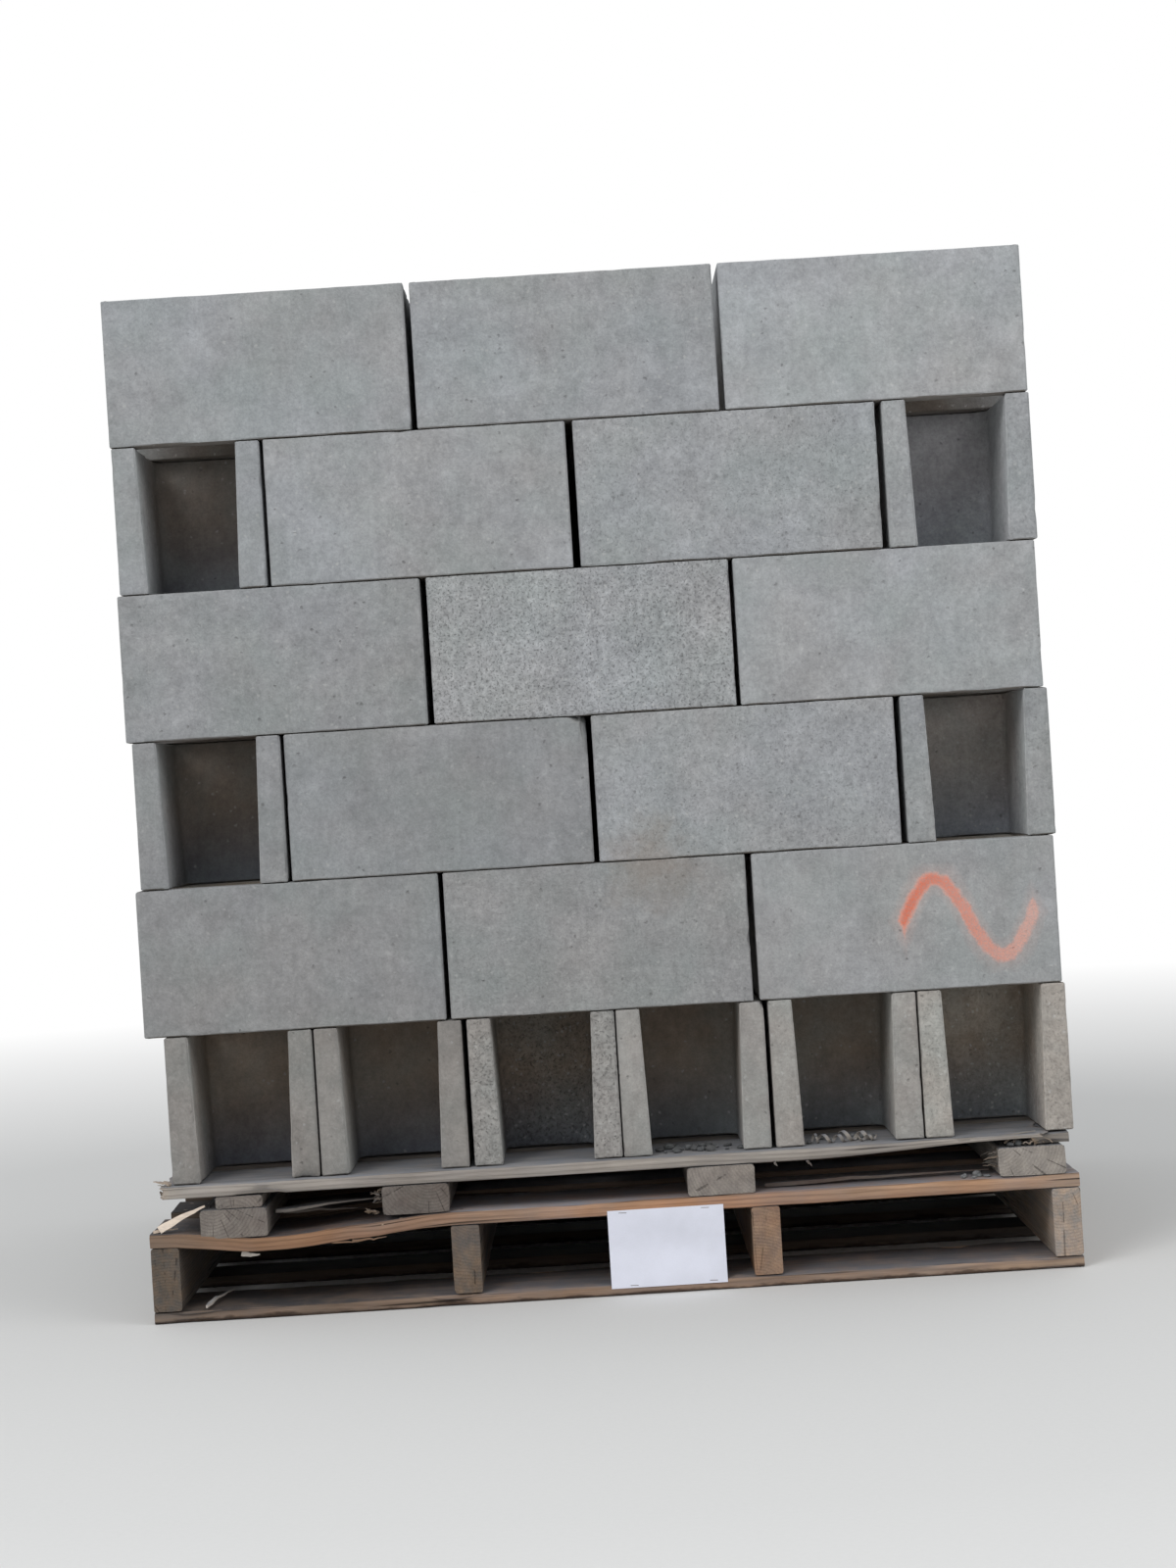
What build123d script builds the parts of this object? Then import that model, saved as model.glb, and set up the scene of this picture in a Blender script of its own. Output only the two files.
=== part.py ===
"""Concrete block on two timber pallets, stacked dry in six interlocking layers. Units: millimetres.

X runs along the front, Y from the front to the back, Z up from the floor.
The origin is the middle of the sound pallet's footprint. A crushed pallet lies
on the sound one, and the blocks stand on the crushed one.
"""
import math
import os
from functools import cache

from build123d import *

# open-ended block: a centre web and one closed end join two face shells
JOINT = 9.0             # the mortar joint that the block is sized for
BLOCK_WIDE = 194.0
BLOCK_TALL = 194.0
BLOCK_LONG = 2 * BLOCK_WIDE + JOINT
SHELL_TOP = 31.0        # face shell at the top of the block
WEB_TOP = 29.0          # centre web and end wall at the top of the block
CORE_TAPER = 1.8        # degrees; each cell narrows towards the bottom
OPEN_CELL_DEEP = 178.0  # from the open end to the centre web, at the top
CORE_RADIUS = 18.0      # rounded inner corners of each cell

# layers: T is a block turned end-on, S a stretcher; each band is one string, front to back
BAND_GAP = 4.0          # between one band and the next
BACK_GAP = 6.0          # between blocks of a band that is not at the front
TURNED = "TTTTTT"
MIXED = "TSST"          # here each S is a pair, one stretcher behind the other
STRETCHERS = "SSS"
LOAD_SHIFT = 6.0        # the load's middle stands right of the pallet's middle
BACK_DRIFT = -12.0      # the last band stands off the bands before it, so no joint runs right through

# name, bands, gaps along the front band, the front band's own drift along X
LAYERS = [
    ("block_layer_1", [TURNED, TURNED, STRETCHERS], [2.5, 7.0, 2.0, 6.0, 2.5], 9.7),
    ("block_layer_2", [STRETCHERS, TURNED, TURNED], [6.4, 8.5], -4.5),
    ("block_layer_3", [MIXED, MIXED, STRETCHERS], [5.0, 7.0, 8.5], 1.3),
    ("block_layer_4", [STRETCHERS, TURNED, TURNED], [8.5, 6.0], -4.6),
    ("block_layer_5", [MIXED, MIXED, STRETCHERS], [5.0, 10.0, 9.0], -0.3),
    ("block_layer_6", [STRETCHERS, TURNED, TURNED], [8.0, 8.0], -1.6),
]

# sound pallet, below
PALLET_WIDE = 1219.0    # along X, the length of its boards
PALLET_DEEP = 1016.0    # along Y, the length of its stringers
STRINGER_THICK = 38.0
STRINGER_TALL = 89.0
STRINGERS = 4
TOP_BOARD_THICK = 19.0
BOTTOM_BOARD_THICK = 16.0
LEAD_BOARD_WIDE = 140.0
BOARD_WIDE = 89.0
TOP_BOARDS = 7
BOTTOM_BOARDS = 5

# crushed pallet, above: its stringers have rolled over and lie flat as runners
CRUSHED_SHORT = 19.0    # its boards are this much shorter than the sound pallet's
CRUSHED_WIDE = PALLET_WIDE - CRUSHED_SHORT
CRUSHED_BOARD_THICK = 17.0
RUNNER_WIDE = STRINGER_TALL  # the same timber, on its side
RUNNER_TALL = STRINGER_THICK
RUNNER_DRIFTS = [83.0, -65.0, -52.0, -32.0]  # how far along X each one has rolled from its place

# index card, stapled across the edges of the sound pallet's front boards
CARD_WIDE = 152.0
CARD_TALL = 102.0
CARD_THICK = 0.5
CARD_MIDDLE = 66.0      # along X
CARD_LOW = 10.0         # height of its lower edge

STRINGER_Z = BOTTOM_BOARD_THICK
TOP_BOARD_Z = STRINGER_Z + STRINGER_TALL
RUNNER_Z = TOP_BOARD_Z + TOP_BOARD_THICK
CRUSHED_BOARD_Z = RUNNER_Z + RUNNER_TALL
LOAD_Z = CRUSHED_BOARD_Z + CRUSHED_BOARD_THICK


def cell(x_near, x_far, rounded):
    """A cell through the block, from x_near to x_far at the top, where it is widest."""
    long, wide = x_far - x_near, BLOCK_WIDE - 2 * SHELL_TOP
    draw = BLOCK_TALL * math.tan(math.radians(CORE_TAPER))
    core = Wedge(long, BLOCK_TALL, wide, draw, draw, long - draw, wide - draw)
    core = Pos((x_near + x_far) / 2, 0, BLOCK_TALL / 2) * Rot(-90, 0, 0) * core
    if not rounded:
        return core
    corners = [e for e in core.edges() if abs(e.tangent_at(0.5).Z) > 0.9]
    return fillet(corners, CORE_RADIUS)


@cache
def block(round_mouth, round_core):
    """One block lying along X on its bed face, its open end towards -X."""
    body = Box(BLOCK_LONG, BLOCK_WIDE, BLOCK_TALL, align=(Align.CENTER, Align.CENTER, Align.MIN))
    open_end = -BLOCK_LONG / 2
    web = open_end + OPEN_CELL_DEEP
    mouth = cell(open_end - OPEN_CELL_DEEP, web, round_mouth)
    core = cell(web + WEB_TOP, BLOCK_LONG / 2 - WEB_TOP, round_core)
    return body - mouth - core


def columns(band, gaps):
    """Middle and kind of each column of a band, from left to right about x = 0."""
    widths = [BLOCK_WIDE if kind == "T" else BLOCK_LONG for kind in band]
    x = -(sum(widths) + sum(gaps)) / 2
    places = []
    for kind, wide, gap in zip(band, widths, list(gaps) + [0.0]):
        places.append((kind, x + wide / 2))
        x += wide + gap
    return places


def band_deep(band):
    return BLOCK_LONG if "T" in band else BLOCK_WIDE


def load_deep(bands):
    return sum(band_deep(b) for b in bands) + BAND_GAP * (len(bands) - 1)


def placements(bands, front_gaps, drift):
    """Kind, x, y, and whether its mouth shows at a side of the load, for each block of a layer."""
    y = -load_deep(bands) / 2
    found = []
    for row, band in enumerate(bands):
        deep = band_deep(band)
        front_row, back_row = row == 0, row == len(bands) - 1
        gaps = front_gaps if front_row else [BACK_GAP] * (len(band) - 1)
        middle = LOAD_SHIFT + drift * front_row + BACK_DRIFT * back_row
        for i, (kind, offset) in enumerate(columns(band, gaps)):
            shows = front_row or back_row if kind == "T" else i in (0, len(band) - 1)
            if kind == "S" and deep > BLOCK_WIDE:
                found.append((kind, middle + offset, y + BLOCK_WIDE / 2, shows))
                found.append((kind, middle + offset, y + deep - BLOCK_WIDE / 2, shows))
            else:
                found.append((kind, middle + offset, y + deep / 2, shows))
        y += deep + BAND_GAP
    return found


def turn(kind, x, y):
    """Open ends of turned blocks face the nearer of front and back, of stretchers the nearer side."""
    if kind == "T":
        return 90 if y < BLOCK_LONG / 2 else -90
    return 0 if x < 0 else 180


def layer(index):
    """All blocks of a layer. A cell that the blocks around it hide keeps square corners."""
    name, bands, gaps, drift = LAYERS[index]
    top_layer = index == len(LAYERS) - 1
    solids = []
    for kind, x, y, mouth_shows in placements(bands, gaps, drift):
        unit = block(round_mouth=mouth_shows or top_layer, round_core=top_layer)
        place = Pos(x, y, LOAD_Z + index * BLOCK_TALL)
        solids.append(place * Rot(0, 0, turn(kind, x, y)) * unit)
    return Compound(children=solids)


def board(long, wide, thick, y, z):
    """A board along X with its middle at y and its underside at z."""
    plank = Box(long, wide, thick, align=(Align.CENTER, Align.CENTER, Align.MIN))
    return Pos(0, y, z) * plank


def board_rows(count):
    """Middle and width of each board from front to back, the wider lead boards outermost."""
    widths = [LEAD_BOARD_WIDE] + [BOARD_WIDE] * (count - 2) + [LEAD_BOARD_WIDE]
    gap = (PALLET_DEEP - sum(widths)) / (count - 1)
    y, rows = -PALLET_DEEP / 2, []
    for wide in widths:
        rows.append((y + wide / 2, wide))
        y += wide + gap
    return rows


def bearer(wide, tall, x, z):
    """A stringer or runner along Y with its middle at x and its underside at z."""
    beam = Box(wide, PALLET_DEEP, tall, align=(Align.CENTER, Align.CENTER, Align.MIN))
    return Pos(x, 0, z) * beam


def stringer_middles(pallet_wide):
    """Middles of a pallet's evenly spaced stringers, the outer two flush with its sides."""
    span = pallet_wide - STRINGER_THICK
    return [-span / 2 + i * span / (STRINGERS - 1) for i in range(STRINGERS)]


def sound_pallet():
    parts = {}
    for i, x in enumerate(stringer_middles(PALLET_WIDE)):
        parts[f"stringer_{i + 1}"] = bearer(STRINGER_THICK, STRINGER_TALL, x, STRINGER_Z)
    for i, (y, wide) in enumerate(board_rows(TOP_BOARDS)):
        parts[f"top_board_{i + 1}"] = board(PALLET_WIDE, wide, TOP_BOARD_THICK, y, TOP_BOARD_Z)
    for i, (y, wide) in enumerate(board_rows(BOTTOM_BOARDS)):
        parts[f"bottom_board_{i + 1}"] = board(PALLET_WIDE, wide, BOTTOM_BOARD_THICK, y, 0)
    return parts


def crushed_pallet():
    parts = {}
    for i, (place, drift) in enumerate(zip(stringer_middles(CRUSHED_WIDE), RUNNER_DRIFTS)):
        parts[f"crushed_runner_{i + 1}"] = bearer(RUNNER_WIDE, RUNNER_TALL, place + drift, RUNNER_Z)
    for i, (y, wide) in enumerate(board_rows(TOP_BOARDS)):
        plank = board(CRUSHED_WIDE, wide, CRUSHED_BOARD_THICK, y, CRUSHED_BOARD_Z)
        parts[f"crushed_board_{i + 1}"] = plank
    return parts


def card():
    sheet = Box(CARD_WIDE, CARD_THICK, CARD_TALL, align=(Align.CENTER, Align.MAX, Align.MIN))
    return Pos(CARD_MIDDLE, -PALLET_DEEP / 2, CARD_LOW) * sheet


def main():
    os.makedirs("parts", exist_ok=True)
    parts = {**sound_pallet(), **crushed_pallet(), "index_card": card()}
    for i in range(len(LAYERS)):
        parts[LAYERS[i][0]] = layer(i)
    for name, shape in parts.items():
        export_step(shape, f"parts/{name}.step")


main()
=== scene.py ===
"""The look of the loaded pallet, in metres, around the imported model.

Each layer of blocks is one mesh of worn and chipped blocks, and each board, stringer and runner is
a sawn timber with splits, bows and broken ends. Every finish is made of nodes.
"""
import math

import bmesh
import bpy
import numpy as np
from mathutils import Matrix, Vector
from mathutils.geometry import tessellate_polygon

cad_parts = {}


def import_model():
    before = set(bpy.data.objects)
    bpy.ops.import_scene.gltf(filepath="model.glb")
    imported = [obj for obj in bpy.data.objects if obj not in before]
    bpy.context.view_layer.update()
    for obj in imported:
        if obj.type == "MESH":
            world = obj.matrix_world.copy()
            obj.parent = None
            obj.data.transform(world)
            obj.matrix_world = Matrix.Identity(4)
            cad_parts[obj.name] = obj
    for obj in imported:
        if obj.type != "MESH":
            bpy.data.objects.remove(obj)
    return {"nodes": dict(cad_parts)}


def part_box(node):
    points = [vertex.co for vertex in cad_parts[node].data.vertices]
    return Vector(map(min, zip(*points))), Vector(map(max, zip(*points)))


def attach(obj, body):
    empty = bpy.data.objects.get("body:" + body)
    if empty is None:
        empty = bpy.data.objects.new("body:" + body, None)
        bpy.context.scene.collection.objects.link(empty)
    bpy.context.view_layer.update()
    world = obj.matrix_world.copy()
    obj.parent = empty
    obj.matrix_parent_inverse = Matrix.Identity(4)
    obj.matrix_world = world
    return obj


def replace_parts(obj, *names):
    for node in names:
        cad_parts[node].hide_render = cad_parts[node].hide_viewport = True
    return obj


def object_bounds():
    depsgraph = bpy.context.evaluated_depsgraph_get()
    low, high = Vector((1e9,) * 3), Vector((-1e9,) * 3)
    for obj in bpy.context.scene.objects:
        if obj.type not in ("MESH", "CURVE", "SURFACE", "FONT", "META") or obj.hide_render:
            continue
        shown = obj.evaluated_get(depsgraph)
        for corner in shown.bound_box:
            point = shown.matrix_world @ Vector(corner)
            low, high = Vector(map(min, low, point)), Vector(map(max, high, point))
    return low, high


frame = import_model()
cad_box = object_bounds()

# camera, level with the middle of the load and tilted as the photograph is
CAMERA = Vector((0.0, -4.152, 0.666))
CAMERA_TILT = math.radians(3.58)
LENS, SENSOR = 64.0, 36.0
LAMPS_AIM = Vector((0, 0, 0.7))

# blocks, as in the solids
SHELL_TOP = 0.031
WEB_TOP = 0.029
CORE_TAPER = math.radians(1.8)
OPEN_CELL_DEEP = 0.178
CORE_RADIUS = 0.018
ARC_STEPS = 5
ARRIS_STEPS = (0.0, 0.0024, 0.0055, 0.011)  # points beside a worn arris
BED_INSET, BED_LIP = 0.006, 0.0005  # a bed face touches only this far in, above a shallow lip
COARSE = 0.013  # spacing of points away from an arris
FINE_ROWS, HIDDEN_ROWS = 0.014, 0.07  # spacing of rows on blocks that show and on the rest
FULL_WEAR = 0.004  # an arris worn this deep has its full change of colour
CELL_SHADE_DEEP = 0.19  # how far in a cell's walls have turned from grey to their deep colour, dusty brown with painted shade
SIDE_MOUTH_SHADE = 0.45  # how far they have turned at once in a mouth at a side of the load, painted shade with dust
MOUTH_LIT_DEEP = 0.085  # how far in a front cell's walls carry a painted highlight of the light at the mouth
BLOCK_VALUES = (
    "wear", "tone", "coarse", "warm", "shift", "inner", "rise", "mouth", "cell", "grime", "marked",
)

# front blocks from left to right: tone, 1 being the usual grey, how coarse the face is, how warm its
# grey, and for a cell that differs from the rest the tone of its inner colour and how much of the dusty,
# painted-shade colour goes into it over a clean grey; the cell tone of 0.36 at both ends of the fourth
# and sixth layers is painted shade in their side mouths
FRONT_LOOKS = {
    "block_layer_1": [(0.85, 0.2, 0.6), (0.86, 0.1, 0.6), (1.01, 1.0, 0.55, 0.8),
                      (1.07, 0.1, 0.58, 0.75), (1.1, 0.3, 0.62, 0.77), (1.3, 0.6, 0.78, 0.76)],
    "block_layer_2": [(0.87, 0.1, 0.15), (0.95, 0.4, 0.22), (1.07, 0.1, 0.12)],
    "block_layer_3": [(0.86, 0.1, 0.1, 0.7), (0.88, 0.1, 0.05), (1.06, 0.5, 0.05),
                      (0.98, 0.4, 0.05, 1.22, 0.65)],
    "block_layer_4": [(0.94, 0.3, 0.05, 0.36), (1.1, 1.0, 0.05), (1.1, 0.2, 0.0, 0.36)],
    "block_layer_5": [(0.96, 0.1, 0.0, 0.63, 0.9), (1.02, 0.2, 0.0), (1.05, 0.5, 0.0),
                      (1.04, 0.4, 0.05, 1.25, 0.25)],
    "block_layer_6": [(0.99, 0.1, 0.0, 0.36), (1.01, 0.3, 0.0), (1.15, 0.2, 0.0, 0.36)],
}
# knocked corners: node, x and height in its front face, half width and half height, depth
FRONT_CHIPS = [
    ("block_layer_3", 0.002, 0.768, 0.03, 0.066, 0.0125),
    ("block_layer_5", -0.215, 1.149, 0.014, 0.01, 0.006),
    ("block_layer_1", 0.211, 0.373, 0.016, 0.014, 0.007),
]


def value_noise(points, size, seed):
    """Smooth noise from 0 to 1 at each point, with cells of the given size."""
    place = points / size + 7.3 * seed
    base = np.floor(place).astype(np.int64)
    part = place - base
    part = part * part * (3 - 2 * part)
    total = np.zeros(len(points))
    for corner in np.ndindex(2, 2, 2):
        cell = base + np.array(corner)
        mix = (cell[:, 0] * 73856093) ^ (cell[:, 1] * 19349663) ^ (cell[:, 2] * 83492791)
        mix = ((mix + seed * 7919) & 0x7FFFFFFF) * 1103515245 & 0x7FFFFFFF
        mix = ((mix ^ (mix >> 15)) * 69069) & 0x7FFFFFFF
        weight = np.prod(np.where(corner, part, 1 - part), axis=1)
        total += weight * (mix % 8191) / 8190
    return total


def rough_noise(points, size, seed):
    """Two octaves of value_noise, from 0 to 1."""
    return (value_noise(points, size, seed) * 2 + value_noise(points, size / 2.3, seed + 5)) / 3


def unit(rows):
    """Each row of an array brought to length 1."""
    return rows / np.linalg.norm(rows, axis=1)[:, None]


# meshes

def add_object(name, data):
    piece = bpy.data.objects.new(name, data)
    bpy.context.scene.collection.objects.link(piece)
    return piece


def bands(count, rings, first=0):
    """Quads between each ring of count points and the ring after it, from point number first on."""
    starts = range(first, first + count * (rings - 1), count)
    return [(n + i, n + (i + 1) % count, n + count + (i + 1) % count, n + count + i)
            for n in starts for i in range(count)]


def sheet(grid):
    """Quads over a grid of point numbers."""
    corners = [grid[:-1, :-1], grid[:-1, 1:], grid[1:, 1:], grid[1:, :-1]]
    return np.stack(corners, axis=-1).reshape(-1, 4).tolist()


class MeshParts:
    """Gathers pieces of mesh and their point attributes, to be joined into one object."""

    def __init__(self, *attributes):
        self.points, self.faces, self.count = [], [], 0
        self.values = {name: [] for name in attributes}

    def add(self, points, faces, **values):
        self.points.append(points)
        self.faces += [tuple(int(i) + self.count for i in face) for face in faces]
        self.count += len(points)
        for name, kept in self.values.items():
            value = np.asarray(values.get(name, 0.0), dtype=float)
            kept.append(value if value.ndim == 2 else np.broadcast_to(value, (len(points),)))

    def build(self, name, material, slot, smooth_angle=50):
        mesh = bpy.data.meshes.new(name)
        mesh.from_pydata(np.concatenate(self.points).tolist(), [], self.faces)
        mesh.update()
        for key, kept in self.values.items():
            data = np.concatenate(kept).astype(np.float32)
            kind, field = ("FLOAT_VECTOR", "vector") if data.ndim == 2 else ("FLOAT", "value")
            mesh.attributes.new(key, kind, "POINT").data.foreach_set(field, data.ravel())
        mesh.materials.append(material)
        mesh.shade_smooth()
        mesh.set_sharp_from_angle(angle=math.radians(smooth_angle))
        piece = add_object(name, mesh)
        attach(piece, "root")
        return piece


def between(first, span, spacing):
    """Even places along the span that starts at first, without its two ends."""
    count = max(1, round(span / spacing))
    return [first + span * k / count for k in range(1, count)]


def run_steps(length, start, end, coarse):
    """Places along a straight run, all but its last; start and end are the radii of its corners.

    A corner with no radius is a worn arris, and the places beside it are close together.
    """
    near, far = (ARRIS_STEPS[:1] if radius else ARRIS_STEPS for radius in (start, end))
    first = start + near[-1]
    middle = between(first, length - end - far[-1] - first, coarse)
    return [start + s for s in near] + middle + [length - end - s for s in reversed(far[1:])]


def loop(corners, coarse):
    """Points round a closed outline, their shift at the bottom, and each one's reach from a worn arris.

    A corner is x, y, radius, and how far it shifts along x and y from top to bottom.
    """
    rows = []
    for i, (x, y, radius, sx, sy) in enumerate(corners):
        nx, ny, next_radius, nsx, nsy = corners[(i + 1) % len(corners)]
        here, ahead = Vector((x, y)), Vector((nx, ny))
        length = (ahead - here).length
        to_next = (ahead - here) / length
        if radius:
            to_last = (Vector(corners[i - 1][:2]) - here).normalized()
            centre = here + radius * (to_next + to_last)
            for k in range(ARC_STEPS):
                turn = k / ARC_STEPS * math.pi / 2
                point = centre - radius * (to_next * math.cos(turn) + to_last * math.sin(turn))
                rows.append((*point, sx, sy, 1.0))
        for step in run_steps(length, radius, next_radius, coarse):
            share = step / length
            rows.append((*(here + to_next * step), sx + (nsx - sx) * share, sy + (nsy - sy) * share,
                         min(1.0 if radius else step, 1.0 if next_radius else length - step)))
    rows = np.array(rows)
    return rows[:, :2], rows[:, 2:4], rows[:, 4]


def block_loops(size, core_coarse):
    """The outline with its open mouth, and the closed core, of a block of the given size."""
    a, b = size[0] / 2, size[1] / 2
    m, web = b - SHELL_TOP, OPEN_CELL_DEEP - a
    t = size[2] * math.tan(CORE_TAPER)
    r = CORE_RADIUS
    outer = [
        (-a, -b, 0, 0, 0), (a, -b, 0, 0, 0), (a, b, 0, 0, 0), (-a, b, 0, 0, 0),
        (-a, m, 0, 0, -t), (web, m, r, -t, -t), (web, -m, r, -t, t), (-a, -m, 0, 0, t),
    ]
    x0, x1 = web + WEB_TOP, a - WEB_TOP
    core = [(x0, -m, r, t, t), (x0, m, r, t, -t), (x1, m, r, -t, -t), (x1, -m, r, -t, t)]
    return loop(outer, COARSE), loop(core, core_coarse)


def wear_depth(points, own, chips):
    """How deep the arris at each point is worn, before it fades with distance."""
    depth = 0.0007 + 0.0018 * rough_noise(own, 0.022, 3)
    depth += 0.055 * np.maximum(0, value_noise(own, 0.034, 11) - 0.87)
    depth += 0.018 * np.maximum(0, value_noise(own, 0.011, 17) - 0.78)
    for centre, half, deep in chips:
        near = np.linalg.norm((points - centre) / half, axis=1)
        depth = np.maximum(depth, deep * np.clip(1.6 * (1 - near), 0, 1))
    return depth


def normals_of(outline):
    """Normals that point out of the material, blended round the corners."""
    along = unit(np.roll(outline, -1, axis=0) - outline)
    normal = np.stack([along[:, 1], -along[:, 0]], axis=1)
    normal += np.roll(normal, 1, axis=0)
    for _ in range(4):
        normal = unit(np.roll(normal, 1, axis=0) + 2 * normal + np.roll(normal, -1, axis=0))
    return normal


def add_block(parts, corner, size, turn, chips, coarse_rows, shift, uncovered, **values):
    """One block, its open end towards its own -X, turned about Z, its underside at corner's height."""
    rows = run_steps(size[2], 0, 0, coarse_rows) + [size[2]]
    rows[1:1], rows[-1:-1] = [BED_LIP], [size[2] - BED_LIP]
    spin = np.array(Matrix.Translation(corner) @ Matrix.Rotation(turn, 4, "Z"))
    sideways, endways = abs(math.cos(turn)), abs(math.sin(turn))

    def placed(points):
        return (np.c_[points, np.ones(len(points))] @ spin.T)[:, :3]

    points, faces, loops_at, marks = [], [], [], []
    for outline, shifts, reach in block_loops(size, coarse_rows * 1.4):
        normal, count, first = normals_of(outline), len(outline), sum(len(p) for p in points)
        loops_at.append((first, count))
        off_ends = np.abs(outline[:, 0]) < size[0] / 2 - 0.002
        in_cell = off_ends & (np.abs(outline[:, 1]) < size[1] / 2 - 0.004)
        from_open = outline[:, 0] + size[0] / 2
        # painted highlight: near a front mouth the cell walls are made paler
        pale = in_cell * np.clip(1 - from_open / MOUTH_LIT_DEEP, 0, 1) * endways
        # painted shade with dust: the deep colour grows in from the mouth, and in part at once in a mouth at
        # a side
        from_mouth = np.clip(SIDE_MOUTH_SHADE * sideways + from_open / CELL_SHADE_DEEP, 0, 1)
        for z in rows:
            flat = outline + shifts * (1 - z / size[2])
            height = np.full(count, z)
            world = placed(np.c_[flat, height])
            depth = wear_depth(world, world + shift, chips)
            to_bed = min(z, size[2] - z)
            worn = np.maximum(0, depth - np.minimum(to_bed, reach) / 1.3)
            if to_bed == 0:
                flat = flat - normal * BED_INSET
            elif to_bed <= BED_LIP * 1.01:
                height += np.sign(size[2] / 2 - z) * 0.0011 * rough_noise(world + shift, 0.03, 41)
            points.append(np.c_[flat - normal * worn[:, None], height])
            # painted sky light: in the open top layer the walls take less of the cell's painted shade near
            # their tops
            below_sky = min(1.0, 0.2 + (size[2] - z) / CELL_SHADE_DEEP) if uncovered else 1.0
            inner, rise = in_cell * from_mouth * below_sky, np.full(count, max(z / size[2], sideways))
            marks.append((worn / FULL_WEAR, inner, rise, pale))
        faces += bands(count, len(rows), first)
    points = np.concatenate(points)
    for at_top in (False, True):
        index = [np.arange(n) + f + (len(rows) - 1) * n * at_top for f, n in loops_at]
        ids = np.concatenate(index)
        for face in tessellate_polygon([[Vector(points[i]) for i in ring] for ring in index]):
            face = ids[list(face)]
            a, b, c = points[face]
            up = np.cross(b - a, c - a)[2] > 0
            faces.append(face if up == at_top else face[::-1])
    marks = dict(zip(("wear", "inner", "rise", "mouth"), np.concatenate(marks, axis=1)))
    parts.add(placed(points), faces, shift=shift, **marks, **values)


def solids_of(name):
    """Each solid of a CAD node as an array of its own points."""
    mesh = frame["nodes"][name].data
    flat = np.empty(len(mesh.vertices) * 3, np.float32)
    mesh.vertices.foreach_get("co", flat)
    places, joined = np.unique(flat.reshape(-1, 3).round(5), axis=0, return_inverse=True)
    ends = np.empty(len(mesh.edges) * 2, np.int32)
    mesh.edges.foreach_get("vertices", ends)
    ends = joined.ravel()[ends].reshape(-1, 2)
    group, before = np.arange(len(places)), None
    while before is None or (group != before).any():
        before = group.copy()
        np.minimum.at(group, ends.ravel(), np.repeat(group[ends].min(axis=1), 2))
    return [places[group == n].astype(float) for n in np.unique(group)]


def read_block(points):
    """A block's lower middle, its size along its own axes, its turn, and its box, from its solid."""
    low, high = points.min(axis=0), points.max(axis=0)
    span = high - low
    axis = int(span[1] > span[0])
    at_low, at_high = (np.sum(np.abs(points[:, axis] - end[axis]) < 1e-4) for end in (low, high))
    turn = (math.pi / 2 if axis else 0.0) + (0.0 if at_low > at_high else math.pi)
    corner = Vector(((low[0] + high[0]) / 2, (low[1] + high[1]) / 2, low[2]))
    return corner, [float(span[i]) for i in (axis, 1 - axis, 2)], turn, low, high


def block_layer(name):
    solids = sorted((read_block(p) for p in solids_of(name)), key=lambda s: (round(s[0].x, 3), s[0].y))
    low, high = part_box(name)
    random = np.random.default_rng(int(name[-1]) * 101)
    looks, top_layer = list(FRONT_LOOKS[name]), name == "block_layer_6"
    parts = MeshParts(*BLOCK_VALUES)
    for corner, size, turn, start, end in solids:
        at_front = start[1] < low.y + 0.01
        at_side = start[0] < low.x + 0.02 or end[0] > high.x - 0.02 or end[1] > high.y - 0.01
        spacing = FINE_ROWS if at_front or at_side or top_layer else HIDDEN_ROWS
        drawn = random.uniform((0.88, 0.0, 0.0), (1.04, 0.6, 40.0))  # tone, coarse, shift
        look = looks.pop(0) if at_front else (*drawn[:2], 0.25, 1.0, 0.8)
        tone, coarse, warm, cell, grime = (*look, 1.0, 1.0)[:5]
        marked = float(name == "block_layer_2" and at_front and not looks)  # the rightmost in front
        chips = [((x, low.y, z), (wide, 0.03, tall), deep)
                 for node, x, z, wide, tall, deep in FRONT_CHIPS
                 if node == name and at_front and start[0] - 0.001 < x < end[0] + 0.001]
        add_block(parts, corner, size, turn, chips, spacing, float(drawn[2]), top_layer,
                  tone=tone, coarse=coarse, warm=warm, marked=marked, cell=cell, grime=grime)
    piece = parts.build(name.replace("block_layer", "blocks_layer"), concrete_finish, "concrete", 32)
    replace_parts(piece, name)


# timber

def grid_steps(length, spacing):
    """Places across a timber's section, close together at its two arrises."""
    near = [0.0, 0.0016, 0.0045]
    middle = between(near[-1], length - 2 * near[-1], spacing)
    return np.array(near + middle + [length - s for s in reversed(near)])


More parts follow.
